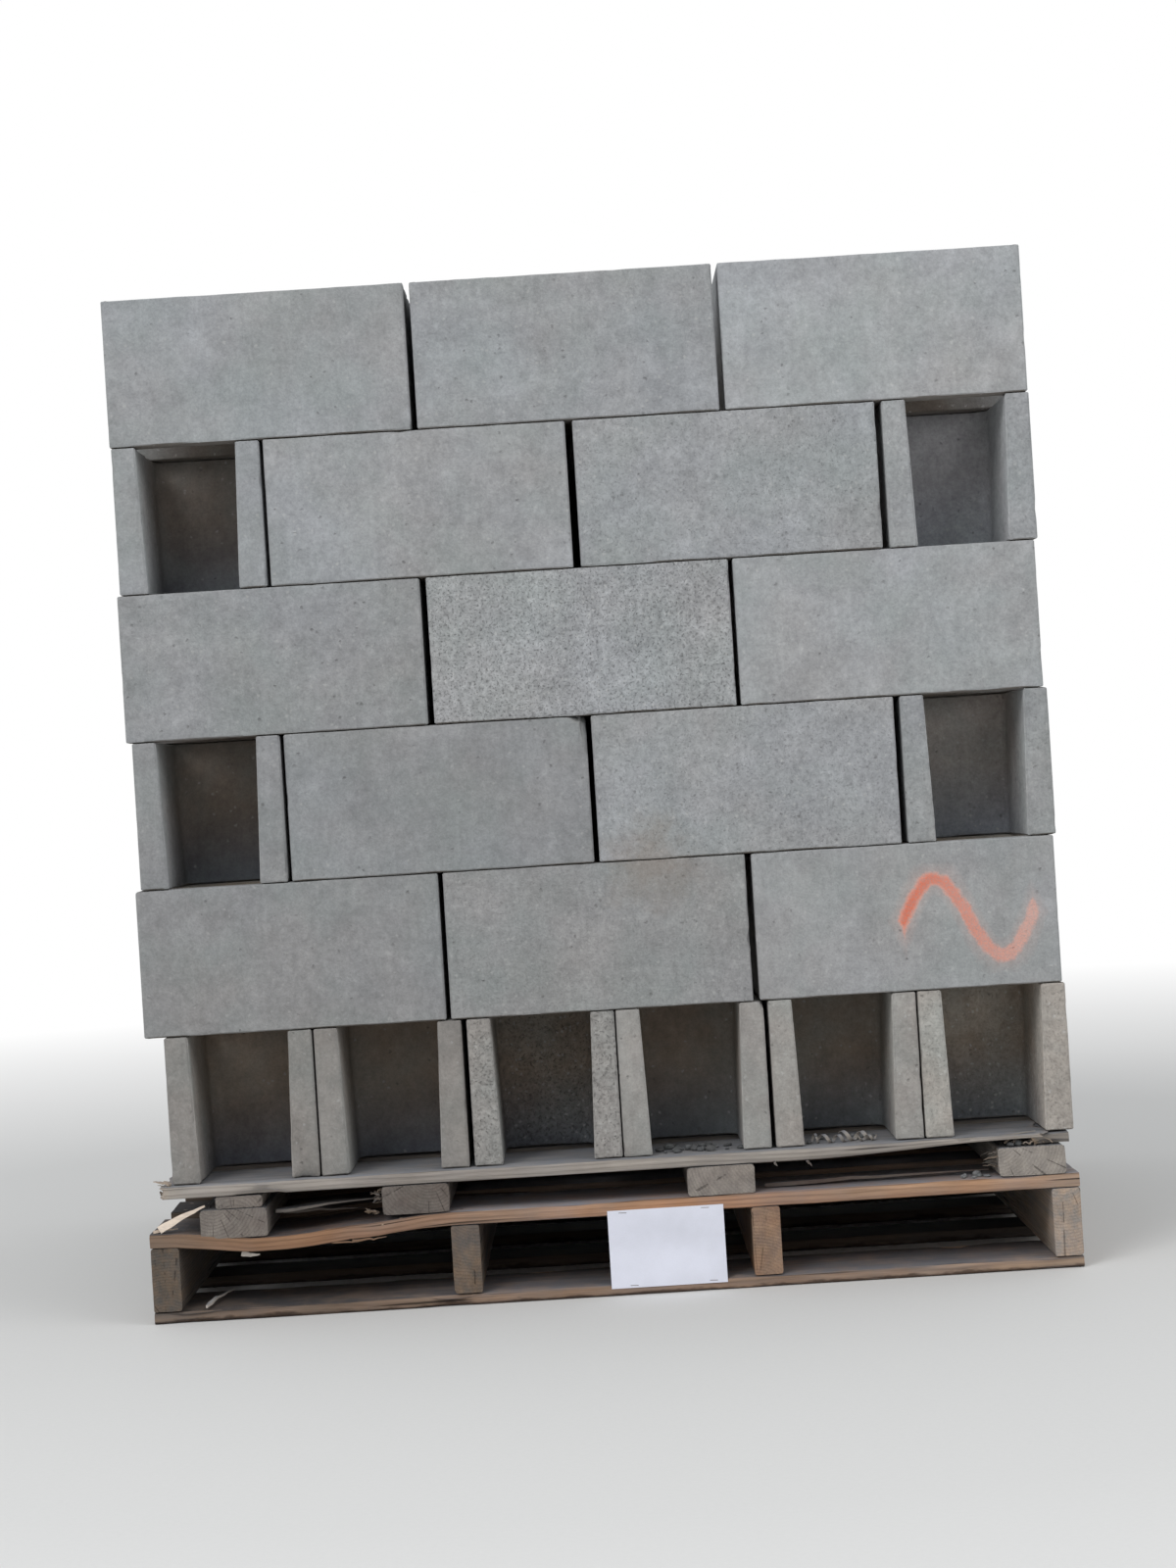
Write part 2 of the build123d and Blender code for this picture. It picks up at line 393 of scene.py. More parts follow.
def add_timber(parts, low, high, grain, seed, step=0.025, wear=1.0, ends=(None, None), bend=None,
               pith=(0.5, -0.6), raw=0.8, **values):
    """A sawn timber in the box from low to high with its grain along x or y.

    ends give, for the low and high end, how far each fibre stops short as a function of its place
    in the section, and raw how pale they are there. bend gives each point's shift in height.
    """
    low, high = np.array(low), np.array(high)
    axes = [0, 1, 2] if grain == "x" else [1, 0, 2]
    size = (high - low)[axes]
    rows = np.linspace(0, size[0], max(2, round(size[0] / step)) + 1)
    us, vs = grid_steps(size[1], 0.022), grid_steps(size[2], 0.013)
    ni, nj, nk = len(rows), len(us), len(vs)
    i, j, k = (g.ravel() for g in np.meshgrid(range(ni), range(nj), range(nk), indexing="ij"))
    at_end, at_u, at_v = ((n == 0) | (n == count - 1) for n, count in ((i, ni), (j, nj), (k, nk)))
    skin = at_end | at_u | at_v
    number = (np.cumsum(skin) - 1).reshape(ni, nj, nk)
    i, j, k, at_u, at_v = (n[skin] for n in (i, j, k, at_u, at_v))
    s, u, v = rows[i], us[j], vs[k]
    own = np.c_[s, u, v] + seed
    section = np.c_[0 * s, u, v] + seed
    from_u, from_v = np.minimum(u, size[1] - u), np.minimum(v, size[2] - v)
    arris = wear * (0.001 + 0.0022 * value_noise(own * (0.4, 1, 1), 0.018, 3))
    arris += wear * 0.03 * np.maximum(0, value_noise(own * (0.35, 1, 1), 0.04, 9) - 0.8)
    uneven = 0.001 * rough_noise(own * (0.25, 1, 1), 0.03, 21)
    worn_u, worn_v = np.maximum(0, arris - from_v) * 0.7, np.maximum(0, arris - from_u) * 0.7
    new_u = u + np.sign(size[1] / 2 - u) * np.where(at_u, worn_u + uneven, 0)
    new_v = v + np.sign(size[2] / 2 - v) * np.where(at_v, worn_v + uneven * 0.6, 0)
    saw = 0.0012 * value_noise(section, 0.007, 31)
    short = [saw if end is None else end(u / size[1], v / size[2], section) for end in ends]
    new_s = short[0] + s * (size[0] - short[0] - short[1]) / size[0]
    fresh = np.where((i == 0) & (ends[0] is not None) | (i == ni - 1) & (ends[1] is not None), raw, 0.0)
    where = np.c_[new_s, new_u, new_v][:, axes] + low
    if bend is not None:
        where[:, 2] += bend(where[:, 0], where[:, 1], v / size[2])
    rings = np.c_[0 * s, u - pith[0] * size[1], v - pith[1] * size[2]]
    faces = sheet(number[:, :, 0]) + sheet(number[:, :, -1].T) + sheet(number[:, 0].T)
    faces += sheet(number[:, -1]) + sheet(number[0]) + sheet(number[-1].T)
    if grain == "y":
        faces = [face[::-1] for face in faces]
    parts.add(where, faces, grain=own, rings=rings, cross=float(grain == "y"), fresh=fresh, **values)


def broken_end(length, seed, lean=0.0):
    """An end whose fibres stop short by up to length, the lower ones more where lean is negative."""
    def short(u, v, section):
        jag = 0.5 * value_noise(section, 0.011, seed) + 0.5 * value_noise(section, 0.004, seed + 1)
        return length * np.clip(jag * (1 - abs(lean)) + lean * (v if lean > 0 else v - 1), 0, 1)
    return short


WOOD_VALUES = ("grain", "rings", "cross", "fresh", "tone", "warm")


def timber(name, grain, finish, **kwargs):
    """The timber that stands for a CAD node."""
    parts = MeshParts(*WOOD_VALUES)
    seed = sum(ord(c) * i for i, c in enumerate(name, 3)) % 97 * 0.731
    add_timber(parts, *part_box(name), grain, seed, **kwargs)
    piece = parts.build(f"{name}_timber", *finish)
    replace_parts(piece, name)


# materials

def add_node(tree, kind, inputs=(), **settings):
    """A shader node with its settings, and with each of its inputs linked or set."""
    node = tree.nodes.new("ShaderNode" + kind)
    for key, value in settings.items():
        setattr(node, key, value)
    for key, value in dict(inputs).items():
        if isinstance(value, bpy.types.NodeSocket):
            tree.links.new(value, node.inputs[key])
        else:
            node.inputs[key].default_value = value
    return node


class Shader:
    """A Principled material, the colour built up for it, and short calls for the nodes that feed it."""

    def __init__(self, name, roughness, specular, colour):
        self.material = bpy.data.materials.new(name)
        self.material.use_nodes = True
        self.tree = self.material.node_tree
        self.surface = self.tree.nodes["Principled BSDF"]
        self.surface.inputs["Roughness"].default_value = roughness
        self.surface.inputs["Specular IOR Level"].default_value = specular
        self.place = self.node("TexCoord").outputs["Object"]
        self.colour = colour

    def node(self, kind, inputs=(), **settings):
        return add_node(self.tree, kind, inputs, **settings)

    def attribute(self, name, output="Fac"):
        return self.node("Attribute", attribute_name=name).outputs[output]

    def math(self, operation, a, b=0.0, c=0.0):
        return self.node("Math", {0: a, 1: b, 2: c}, operation=operation).outputs[0]

    def vector(self, operation, *values):
        return self.node("VectorMath", dict(enumerate(values)), operation=operation).outputs

    def product(self, *values):
        total = values[0]
        for value in values[1:]:
            total = self.math("MULTIPLY", total, value)
        return total

    def axes(self, vector):
        return self.node("SeparateXYZ", {"Vector": vector}).outputs

    def facing(self):
        return self.axes(self.node("NewGeometry").outputs["Normal"])

    def moved(self, offset):
        """The object's coordinates moved by a value, so that like pieces don't repeat."""
        spread = self.node("CombineXYZ", {"X": offset, "Y": offset, "Z": offset}).outputs[0]
        return self.vector("ADD", self.place, spread)[0]

    def warped(self, place, scale, reach):
        """Coordinates pushed about by noise, so that round cells become ragged."""
        push = self.node("TexNoise", {"Vector": place, "Scale": scale, "Detail": 1.0})
        return self.vector("MULTIPLY_ADD", push.outputs["Color"], (reach,) * 3, place)[0]

    def noise(self, place, scale, detail=3.0, roughness=0.6, stretch=None):
        """Noise from 0 to 1; a stretch under 1 along an axis draws it out along that axis."""
        if stretch:
            place = self.vector("MULTIPLY", place, stretch)[0]
        inputs = {"Vector": place, "Scale": scale, "Detail": detail, "Roughness": roughness}
        return self.node("TexNoise", inputs).outputs["Fac"]

    def ramp(self, value, low, high, out_low=0.0, out_high=1.0):
        inputs = {"Value": value, "From Min": low, "From Max": high, "To Min": out_low, "To Max": out_high}
        return self.node("MapRange", inputs).outputs["Result"]

    def mix(self, share, a, b, blend="MIX"):
        inputs = {0: share, 6: a, 7: b}
        return self.node("Mix", inputs, data_type="RGBA", blend_type=blend).outputs[2]

    def scaled(self, colour, value):
        grey = self.node("CombineColor", {"Red": value, "Green": value, "Blue": value}).outputs[0]
        return self.mix(1.0, colour, grey, "MULTIPLY")

    def paint(self, share, colour):
        """Lays a colour over the material's own, as far as share says."""
        self.colour = self.mix(share, self.colour, colour)

    def shade(self, value):
        """Makes the material's colour darker or paler."""
        self.colour = self.scaled(self.colour, value)

    def vary(self, noise, low, high):
        self.shade(self.ramp(noise, 0.3, 0.7, low, high))

    def finish(self, height, distance, strength):
        """The material with its colour and a bump linked."""
        inputs = {"Height": height, "Distance": distance, "Strength": strength}
        bump = self.node("Bump", inputs).outputs["Normal"]
        self.tree.links.new(self.colour, self.surface.inputs["Base Color"])
        self.tree.links.new(bump, self.surface.inputs["Normal"])
        return self.material


def srgb(*values):
    """A colour given as sRGB bytes, for a shader."""
    shares = [c / 255 for c in values]
    return tuple(c / 12.92 if c <= 0.04045 else ((c + 0.055) / 1.055) ** 2.4 for c in shares) + (1.0,)


WHITE = (1, 1, 1, 1)
CONCRETE, CONCRETE_WARM, CONCRETE_PALE = srgb(152, 154, 157), srgb(148, 140, 131), srgb(184, 184, 182)
CONCRETE_DARK, CONCRETE_GREEN = srgb(84, 82, 81), srgb(142, 151, 149)
UNDERSIDE_SHADE = srgb(104, 96, 88)  # painted shade on faces that look down, such as the undersides of the blocks
CELL_DUST_WARM_BOUNCE, CELL_COOL_SHADE = srgb(150, 133, 116), srgb(98, 103, 114)  # painted light up and down a cell's walls: dusty brown with painted warm bounce light high up, painted bluish shade low down
CELL_CLEAN = srgb(148, 151, 158)
SPRAY, SPRAY_PALE = srgb(222, 116, 84), srgb(230, 178, 162)
SMUDGE, SPLIT_DARK = srgb(134, 118, 104), srgb(38, 32, 28)
DAMP_WOOD, FRESH_WOOD = srgb(66, 52, 44), srgb(186, 158, 128)

MARK_START, MARK_END = 0.402, 0.572  # along X, on the right block of the second layer
MARK_Z, MARK_HIGH, MARK_WIDE = 0.466, 0.052, 0.0115  # its middle, its rise from there, half its line
SMUDGE_PLACE = (0.075, -0.495, 0.562)
RING_TURN = 1500.0  # radians to the metre, so a growth ring every 4 mm


def spray_mark(s):
    """One loose wave of orange spray paint, strong where it starts and pale where it ends."""
    axis = s.axes(s.place)
    x, z = axis["X"], axis["Z"]
    phase = s.ramp(x, MARK_START, MARK_END, 0, 2 * math.pi)
    line = s.math("MULTIPLY_ADD", s.math("SINE", phase), MARK_HIGH, MARK_Z)
    slope = s.product(s.math("COSINE", phase), MARK_HIGH * 2 * math.pi / (MARK_END - MARK_START))
    steep = s.math("SQRT", s.math("MULTIPLY_ADD", slope, slope, 1))
    gap = s.math("DIVIDE", s.math("ABSOLUTE", s.math("SUBTRACT", z, line)), steep)
    past = s.math("MAXIMUM", s.math("SUBTRACT", MARK_START, x), s.math("SUBTRACT", x, MARK_END))
    gap = s.math("ADD", gap, s.math("MAXIMUM", past, 0))
    gap = s.math("ADD", gap, s.ramp(s.noise(s.place, 60, 3, 0.7), 0.3, 0.7, -0.0025, 0.0025))
    core = s.ramp(gap, MARK_WIDE * 0.55, MARK_WIDE, 1, 0)
    halo = s.ramp(gap, MARK_WIDE * 0.7, MARK_WIDE * 2, 0.22, 0)
    thin = s.math("MAXIMUM", s.ramp(gap, MARK_WIDE * 0.25, MARK_WIDE * 0.95),
                  s.ramp(x, MARK_START, MARK_END, -0.1, 0.85))
    speckle = s.ramp(s.noise(s.place, 420, 2, 0.7), 0.35, 0.6, 0.55, 1)
    fade = s.ramp(x, MARK_START, MARK_END, 0.92, 0.7)
    share = s.product(s.math("MAXIMUM", core, halo), speckle, fade, s.attribute("marked"))
    share = s.product(share, s.ramp(axis["Y"], -0.49, -0.494))
    s.paint(share, s.mix(thin, SPRAY, SPRAY_PALE))


def concrete():
    """Grey dry-cast concrete: mottled, gritty and pitted, pale at worn arrises; dusty brown in its cells
    with painted shade, painted bounce light and a painted highlight at front mouths, and painted shade on
    faces that look down and in deep chips.
    """
    s = Shader("dry_cast_concrete", 0.93, 0.2, CONCRETE)
    shift, coarse, wear = s.attribute("shift"), s.attribute("coarse"), s.attribute("wear")
    place = s.moved(shift)
    grain, sand = s.noise(place, 330, 3, 0.75), s.noise(place, 120, 4, 0.7)
    s.paint(s.ramp(s.noise(place, 5, 3, 0.55), 0.38, 0.75, 0, 0.3), CONCRETE_WARM)
    s.paint(s.attribute("warm"), CONCRETE_WARM)
    # painted light in a cell: painted warm bounce light high up and painted bluish shade low down, over
    # dusty brown
    deep = s.mix(s.ramp(s.attribute("rise"), 0.05, 0.55), CELL_COOL_SHADE, CELL_DUST_WARM_BOUNCE)
    deep = s.scaled(s.mix(s.attribute("grime"), CELL_CLEAN, deep), s.attribute("cell"))
    # painted shade with dust, stronger deeper in a cell
    s.paint(s.product(s.attribute("inner"), 0.9), deep)
    s.vary(s.noise(place, 15, 4, 0.65), 0.88, 1.12)
    s.vary(s.noise(place, 46), 0.92, 1.08)
    s.paint(s.ramp(s.noise(place, 8), 0.42, 0.7, 0, 0.38), CONCRETE_GREEN)
    # painted highlight near a front cell's mouth
    s.shade(s.ramp(s.attribute("mouth"), 0, 1, 1, 1.45))
    # painted shade on faces that look down
    s.paint(s.ramp(s.facing()["Z"], -0.9, -0.5, 0.9, 0), UNDERSIDE_SHADE)
    contrast = s.math("MULTIPLY_ADD", coarse, 0.75, 0.32)
    s.shade(s.math("MULTIPLY_ADD", s.math("SUBTRACT", sand, 0.5), contrast, 1))
    s.vary(grain, 0.88, 1.11)
    s.vary(s.noise(place, 150, 2, 0.5, (1, 1, 0.1)), 0.97, 1.03)
    cells = s.node("TexVoronoi", {"Vector": s.warped(place, 260, 0.004), "Scale": 170}).outputs
    which = s.node("SeparateColor", {"Color": cells["Color"]}).outputs[0]
    chosen = s.math("GREATER_THAN", which, s.ramp(coarse, 0, 1, 0.991, 0.88))
    pit = s.product(chosen, s.ramp(cells["Distance"], 0.12, 0.45, 1, 0),
                    s.ramp(s.noise(place, 37, 1), 0.4, 0.6, 0.25, 1))
    crumble = s.ramp(s.noise(s.moved(s.math("ADD", shift, 7)), 300, 4, 0.75), 0.56, 0.72)
    crumble = s.product(crumble, s.ramp(coarse, 0.15, 1, 0, 0.75))
    pit = s.math("MAXIMUM", s.product(pit, 0.7), crumble)
    paler = s.math("LESS_THAN", which, s.ramp(coarse, 0, 1, 0.02, 0.18))
    s.paint(s.product(pit, 0.62), CONCRETE_DARK)
    s.paint(s.product(paler, s.ramp(cells["Distance"], 0.15, 0.45, 0.4, 0)), CONCRETE_PALE)
    worn = s.ramp(wear, 0.1, 1.2)
    s.paint(s.product(worn, 0.35), CONCRETE_PALE)
    # painted shade in deep chips and worn hollows
    s.paint(s.ramp(wear, 1.1, 1.9, 0, 0.62), CONCRETE_DARK)
    ragged = s.ramp(s.noise(s.place, 30, 4, 0.7), 0.3, 0.7, -0.02, 0.02)
    away = s.math("ADD", s.vector("DISTANCE", s.place, SMUDGE_PLACE)["Value"], ragged)
    s.paint(s.ramp(away, 0.012, 0.075, 0.42, 0), SMUDGE)
    s.shade(s.attribute("tone"))
    spray_mark(s)
    height = s.math("ADD", s.product(grain, 0.5), s.product(sand, 0.7))
    height = s.math("SUBTRACT", height, s.product(pit, 1.3))
    height = s.math("ADD", height, s.product(s.noise(place, 60), worn))
    return s.finish(height, 0.0014, 0.9)


def wood(name, grey, brown, pale, dust, left=1, right=1):
    """Sawn softwood, from grey to brown by its own warmth, with growth rings about each pith.

    Left and right are how much darker or paler the timber is at the sides of the load; the left one also
    darkens the dust on up-facing faces by its square, a painted shadow.
    """
    s = Shader(name, 0.86, 0.22, grey)
    own, ring = s.attribute("grain", "Vector"), s.attribute("rings", "Vector")
    facing, where = s.facing(), s.axes(s.place)
    cross = s.attribute("cross")
    end = s.math("ADD", s.product(s.math("ABSOLUTE", facing["Y"]), cross),
                 s.product(s.math("ABSOLUTE", facing["X"]), s.math("SUBTRACT", 1, cross)))
    end = s.ramp(end, 0.6, 0.85)
    wander = s.ramp(s.noise(own, 14, 3, 0.5, (0.25, 1, 1)), 0, 1, -0.006, 0.006)
    radius = s.vector("LENGTH", ring)["Value"]
    rings = s.math("SINE", s.product(s.math("ADD", radius, wander), RING_TURN))
    rings = s.math("POWER", s.math("MULTIPLY_ADD", rings, 0.5, 0.5), 2)
    rings = s.product(rings, s.math("MULTIPLY_ADD", end, -0.35, 1))
    fibre = s.noise(own, 420, 3, 0.7, (0.03, 1, 1))
    streak = s.noise(own, 70, 4, 0.65, (0.03, 1, 1))
    patch = s.ramp(s.noise(own, 11, stretch=(0.35, 1, 1)), 0.36, 0.56, 0.55, 1)
    aged = s.ramp(s.math("ABSOLUTE", where["X"]), 0.46, 0.6, 1, 0.35)
    s.paint(s.product(s.attribute("warm"), patch, aged), brown)
    s.paint(s.ramp(streak, 0.35, 0.75, 0, 0.6), pale)
    faint = s.ramp(s.noise(own, 26, 2, 0.5, (0.2, 1, 1)), 0.35, 0.65, 0.35, 1)
    s.shade(s.ramp(s.product(rings, faint), 0, 1, 1.04, 0.76))
    s.vary(s.noise(own, 48, 4, 0.65, (0.14, 1, 0.6)), 0.84, 1.16)
    s.shade(s.ramp(fibre, 0.25, 0.75, 0.8, 1.16))
    s.paint(s.ramp(s.noise(own, 9), 0.45, 0.8, 0, 0.3), dust)
    split = s.ramp(s.noise(own, 170, 1, 0.4, (0.02, 1, 1)), 0.69, 0.73)
    check = s.ramp(s.noise(s.vector("NORMALIZE", ring)[0], 16, 1, 0.4), 0.655, 0.68)
    check = s.product(check, s.ramp(s.noise(own, 45, 2, 0.5), 0.5, 0.56))
    split = s.math("ADD", s.product(split, s.math("SUBTRACT", 1, end)), s.product(check, end, 0.6))
    s.paint(s.product(split, 0.8), SPLIT_DARK)
    dusty = s.ramp(s.noise(s.place, 22, 4, 0.6), 0.3, 0.6, 0.5, 0.9)
    dusty = s.product(s.ramp(facing["Z"], 0.3, 0.9), dusty)
    # dust on faces that look up, with painted shade: darker low down inside the pallet and, by left squared,
    # towards the left under the crushed board
    lying = s.product(s.ramp(streak, 0.3, 0.7, 0.85, 1.1), s.ramp(where["Z"], 0.02, 0.06, 0.6, 1),
                      s.ramp(where["X"], -0.32, -0.2, left * left, 1))
    s.paint(dusty, s.scaled(dust, lying))
    foot = s.ramp(s.noise(own, 60, 3, 0.7, (0.3, 1, 1)), 0.3, 0.7, -0.004, 0.005)
    foot = s.math("ADD", where["Z"], foot)
    s.paint(s.ramp(foot, 0.0025, 0.006, 0.75, 0), DAMP_WOOD)
    s.paint(s.product(s.attribute("fresh"), s.ramp(fibre, 0.2, 0.6, 0.5, 1)), FRESH_WOOD)
    sides = s.product(s.ramp(where["X"], -0.4, -0.2, left, 1), s.ramp(where["X"], 0.2, 0.55, 1, right))
    s.shade(s.product(s.attribute("tone"), sides))
    height = s.math("ADD", s.product(fibre, 0.8), s.product(rings, 0.35))
    return s.finish(s.math("SUBTRACT", height, s.product(split, 1.5)), 0.0012, 0.9)


def card_paper():
    s = Shader("bare_card", 0.7, 0.3, srgb(228, 230, 242))
    fibres = s.noise(s.place, 900, 3, 0.7)
    s.paint(s.ramp(s.noise(s.place, 25), 0.35, 0.75), srgb(220, 222, 233))
    s.vary(fibres, 0.97, 1.02)
    return s.finish(fibres, 0.0002, 0.5)


def steel():
    s = Shader("rusty_steel", 0.6, 0.5, srgb(120, 116, 112))
    s.surface.inputs["Metallic"].default_value = 0.5
    rust = s.noise(s.place, 700, 4, 0.7)
    s.paint(s.ramp(rust, 0.4, 0.62), srgb(104, 66, 44))
    return s.finish(rust, 0.0003, 0.6)


concrete_finish = concrete()
sound_wood = wood("sound_pallet_softwood", srgb(128, 122, 115), srgb(166, 122, 92), srgb(188, 154, 122),
                  srgb(129, 132, 140), left=0.7, right=1.12), "pallet_wood"
grey_wood = wood("weathered_softwood", srgb(140, 134, 128), srgb(124, 104, 95), srgb(166, 158, 148),
                 srgb(117, 120, 126)), "weathered_wood"
paper, rusty_steel = card_paper(), steel()

for layer in FRONT_LOOKS:
    block_layer(layer)


# the sound pallet

def smooth_step(x, start, end):
    share = np.clip((x - start) / (end - start), 0, 1)
    return share * share * (3 - 2 * share)


# height lost by the front lead board in its left bay, where the first runner presses on it
SAG_X = (-0.61, -0.575, -0.53, -0.48, -0.43, -0.399, -0.345, -0.315, -0.288, -0.248, -0.216)
SAG_Z = (-0.006, -0.0065, -0.0115, -0.018, -0.0175, -0.0155, -0.0095, -0.0083, -0.0055, -0.0013, 0.0)


def pressed(y):
    """How much of the sag is left behind the front lead board."""
    return 1 - smooth_step(y, -0.40, -0.08)


def deck_sag(x, y, v):
    return np.interp(x, SAG_X, SAG_Z) * pressed(y)


def stringer_crush(x, y, v):
    return SAG_Z[0] * v * pressed(y)


def runner_sag(x, y, v):
    return SAG_Z[3] * 0.93 * pressed(y)


def delaminated(x, y, v):
    """The crushed front board has lost its lower fibres towards its right end."""
    return 0.01 * (1 - v) * smooth_step(x, 0.25, 0.53)


STRINGER_LOOKS = [(0.62, 0.05), (0.54, 0.15), (0.82, 0.75), (1.16, 0.08)]  # tone, warmth
board_tones = np.random.default_rng(5).uniform(0.85, 1.05, 24)
for number, (tone, warm) in enumerate(STRINGER_LOOKS, 1):
    timber(f"stringer_{number}", "y", sound_wood, step=0.03, tone=tone, warm=warm,
           bend=stringer_crush if number == 1 else None,
           pith=((0.2 + 0.3 * number) % 1, -0.2 if number % 2 else 1.3))
for number in range(1, 8):
    front = number == 1
    # the inner boards get a tone of 0.42, a painted shade deep inside the pallet
    shade = 1.04 if front else 0.86 if number == 7 else 0.42
    timber(f"top_board_{number}", "x", sound_wood, step=0.012 if number < 3 else 0.025,
           tone=shade * (1 if front else board_tones[number]),
           warm=0.95 if front else 0.5, bend=deck_sag, pith=(0.3 + 0.1 * number, -1.5 - 0.3 * number))
for number in range(1, 6):
    front = number == 1
    # the inner boards get a tone of 0.28, a painted shade deep inside the pallet
    shade = 0.88 if front else 0.78 if number == 5 else 0.28
    timber(f"bottom_board_{number}", "x", sound_wood, step=0.012 if front else 0.025,
           tone=shade * board_tones[8 + number], warm=0.4 if front else 0.25, wear=2.4 if front else 1.0,
           pith=(0.4 + 0.1 * number, 3.0 - 0.4 * number))

# the crushed pallet

REMNANT_LOW = 0.1625  # the broken board's underside, just above the runner
RUNNER_LOOKS = [(0.74, 0.4), (0.58, 0.5), (0.95, 0.25), (1.09, 0.15)]  # tone, warmth
for number, (tone, warm) in enumerate(RUNNER_LOOKS, 1):
    timber(f"crushed_runner_{number}", "y", grey_wood, step=0.03, tone=tone, warm=warm,
           wear=1.8, bend=runner_sag if number == 1 else None, pith=((0.5 * number) % 1.7 - 0.3, 1.4))
for number in range(1, 8):
    front = number == 1
    timber(f"crushed_board_{number}", "x", grey_wood, step=0.01 if front else 0.025,
           tone=1.17 if front else 0.8 * board_tones[14 + number], warm=0.15 if front else 0.4,
           wear=1.6, raw=0.15,
           ends=(broken_end(0.02, 4), broken_end(0.075, 8, -0.2)) if front else (None, None),
           bend=delaminated if front else None, pith=(0.2 + 0.12 * number, -2.0))


def loose_timber(name, low, high, grain, finish, **kwargs):
    """A broken piece that lies on the pallets and stands for no node."""
    parts = MeshParts(*WOOD_VALUES)
    add_timber(parts, low, high, grain, len(name) * 0.37, **kwargs)
    parts.build(name, *finish)


def slab_lie(x, y, v):
    """The split slab fills the wedge between the pressed runner and the board above it."""
    gap = 0.0165 * pressed(y)
    return np.where(v < 0.5, 0.0145 - gap, 0.0)


loose_timber("split_slab", (-0.521, -0.505, 0.1475), (-0.459, -0.3, 0.1615), "y", grey_wood,
             step=0.02, tone=0.78, warm=0.35, wear=1.4, bend=slab_lie,
             ends=(None, broken_end(0.05, 3)), pith=(0.4, -1.5))
loose_timber("board_remnant", (0.545, -0.503, REMNANT_LOW), (0.6, -0.372, 0.1775), "x", grey_wood,
             step=0.008, tone=0.95, warm=0.1, wear=2.2, ends=(broken_end(0.022, 6), None), pith=(0.3, -2.0))

# splinters, shavings, rubble and nails

def tube(path, widths, thicks, across):
    """A bar along a path with a rectangular section, and its faces; across is its width's direction."""
    path = np.array(path)
    along = unit(np.gradient(path, axis=0))
    side = unit(across - along * np.sum(along * across, axis=1)[:, None])
    up = np.cross(along, side)
    w, t = np.reshape(widths, (-1, 1)) / 2, np.reshape(thicks, (-1, 1)) / 2
    rings = [path + side * w * a + up * t * b for a, b in ((-1, -1), (1, -1), (1, 1), (-1, 1))]
    points = np.stack(rings, axis=1).reshape(-1, 3)
    return points, bands(4, len(path)) + [(3, 2, 1, 0), range(len(points) - 4, len(points))]


def add_splinter(parts, random, start, end, wide, thick, bow, tone, warm, fresh):
    """A torn sliver of wood that tapers unevenly from start to end and bows upward in between."""
    start, end = np.array(start), np.array(end)
    t = np.linspace(0, 1, 9)
    path = start + np.outer(t, end - start)
    path[:, 2] += bow * np.sin(np.pi * t)
    path += 0.0006 * random.standard_normal(path.shape) * np.sin(np.pi * t)[:, None]
    taper = np.clip(1.15 - t, 0.12, 1) * np.clip(0.35 + 5 * t, 0, 1) * random.uniform(0.8, 1.15, 9)
    across = np.cross(end - start, (0, 0, 1)) + (0, 0, 0.004 * random.standard_normal())
    points, faces = tube(path, wide * taper, thick * np.clip(1.2 - t, 0.25, 1), across)
    points = np.clip(points, *cad_box)
    length = np.repeat(t * np.linalg.norm(end - start), 4)
    local = points - points[0]
    own = np.c_[length, local[:, 0] * 0.2, local[:, 2]] + random.uniform(0, 9)
    parts.add(points, faces, grain=own, rings=own * 0, tone=tone, warm=warm, fresh=fresh)


def splinters(name, finish, seed, pieces, clusters):
    """One mesh of torn slivers, some given and some in clusters.

    A given one is its start, end, width, thickness, bow, tone, warmth and freshness. A cluster is its
    place, spread, the way its slivers point, their length, count and tone.
    """
    parts, random = MeshParts(*WOOD_VALUES), np.random.default_rng(seed)
    for piece in pieces:
        add_splinter(parts, random, *piece)
    for place, spread, way, long, count, tone in clusters:
        for _ in range(count):
            start = place + spread * random.uniform(-1, 1, 3)
            heading = way + random.uniform(-0.45, 0.45, 3)
            end = start + heading * long * random.uniform(0.5, 1.1)
            end[2] = max(end[2], start[2] - 0.004)
            wide, thick, shade, warm, fresh = random.uniform(
                (0.0025, 0.0012, 0.8, 0, 0), (0.006, 0.003, 1.15, 0.4, 0.5))
            add_splinter(parts, random, start, end, wide, thick, 0.001, tone * shade, warm, fresh)
    parts.build(name, *finish, 35)


